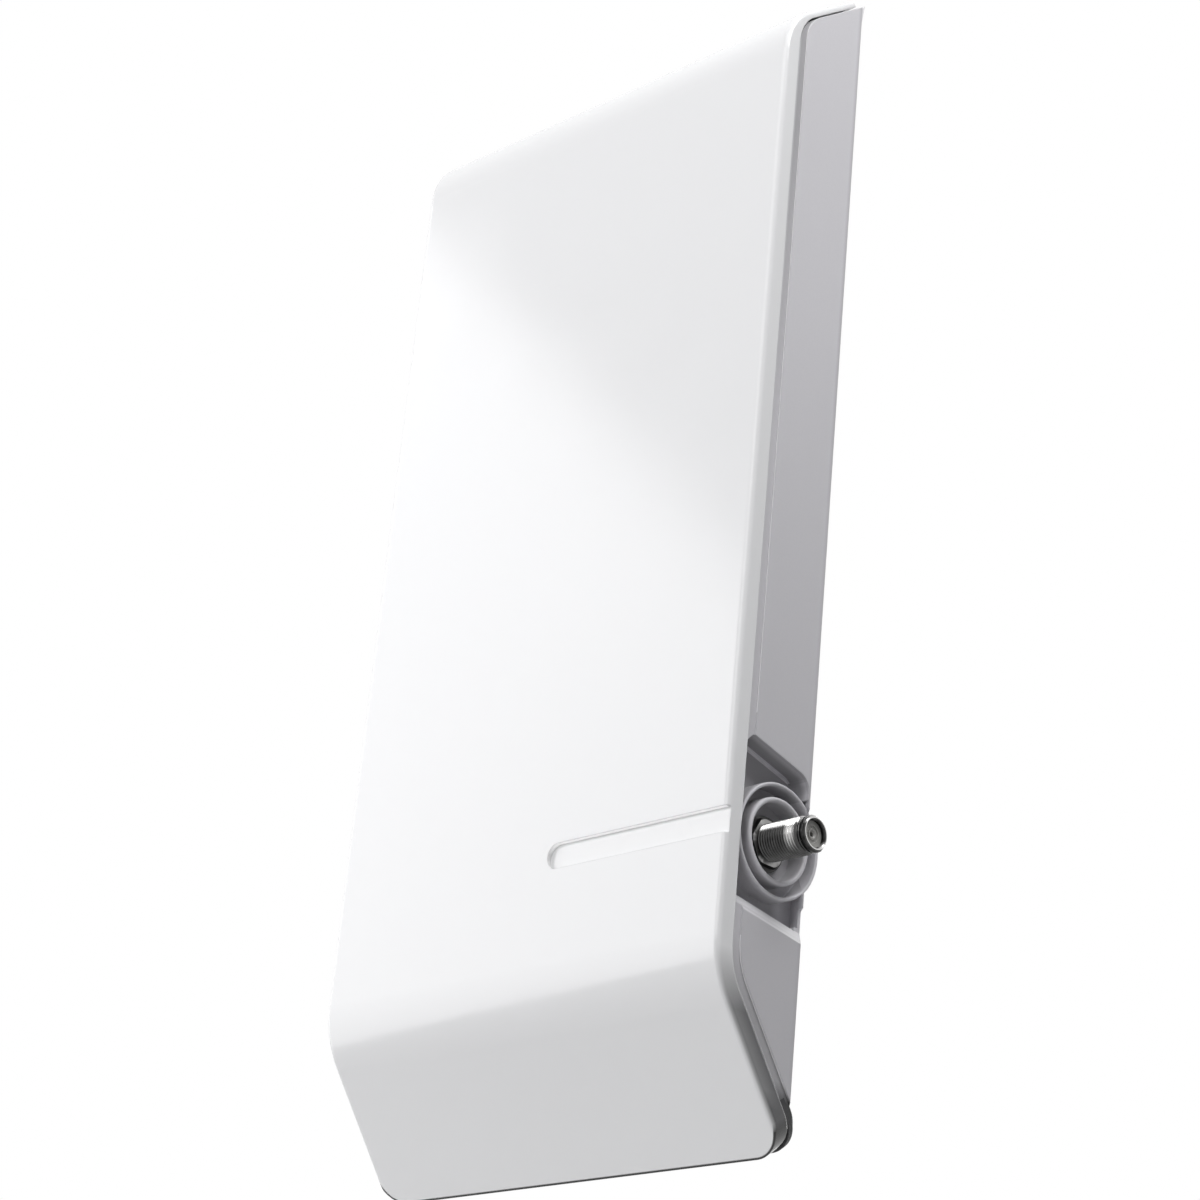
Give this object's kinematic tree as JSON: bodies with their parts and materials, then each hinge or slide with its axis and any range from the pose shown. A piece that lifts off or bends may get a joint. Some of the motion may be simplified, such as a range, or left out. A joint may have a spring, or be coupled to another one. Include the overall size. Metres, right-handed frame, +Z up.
{
  "type": "outdoor tv antenna",
  "caption": "Slim panel aerial with a wrapped glossy cover, slanted lower front, matt rear housing and a threaded side connector in a collared pocket.",
  "frame": {"origin": "centre of the four threaded fixing points, on the flat back face", "axes": "+Z up along the panel, +Y out of the back towards the wall or mast, +X towards the connector side; the front faces -Y"},
  "size_m": [0.1486, 0.035, 0.3192],
  "materials": {
    "cover_white": "gloss white moulded shell",
    "housing_grey": "fine matt grain, pale grey",
    "seal_black": "matt",
    "sheet_aluminium": "rolled sheet",
    "board_green": "solder mask over glass laminate",
    "element_brass": "stamped sheet",
    "ferrite_dark": "sintered, matt",
    "spacer_nylon": "natural nylon",
    "screw_steel": "zinc plated",
    "cable_black": "smooth jacket",
    "chip_black": "moulded package",
    "coil_copper": "enamelled wire",
    "chip_tan": "fired ceramic",
    "can_tin": "tinned sheet",
    "connector_nickel": "bright nickel plate",
    "insulator_white": "turned dielectric",
    "contact_gold": "gold flash",
    "insert_brass": "turned, knurled",
    "vent_grey": "sintered breathing plug"
  },
  "bodies": {
    "root": {"front_cover": "cover_white", "rear_housing": "housing_grey", "cover_seal": "seal_black", "reflector_plate": "sheet_aluminium", "antenna_board": "board_green", "dipole_wings": "element_brass", "feed_lines": "element_brass", "balun_core": "ferrite_dark", "board_spacers": "spacer_nylon", "board_screws": "screw_steel", "coax_jumper": "cable_black", "amplifier_board": "board_green", "amplifier_chip": "chip_black", "filter_coils": "coil_copper", "chip_components": "chip_tan", "shield_frame": "can_tin", "shield_lid": "can_tin", "amplifier_screws": "screw_steel", "connector_body": "connector_nickel", "connector_insulator": "insulator_white", "centre_contact": "contact_gold", "connector_nut": "connector_nickel", "connector_washer": "connector_nickel", "connector_seal": "seal_black", "housing_screws": "screw_steel", "mount_inserts": "insert_brass", "vent_plug": "vent_grey"}
  },
  "joints": []
}
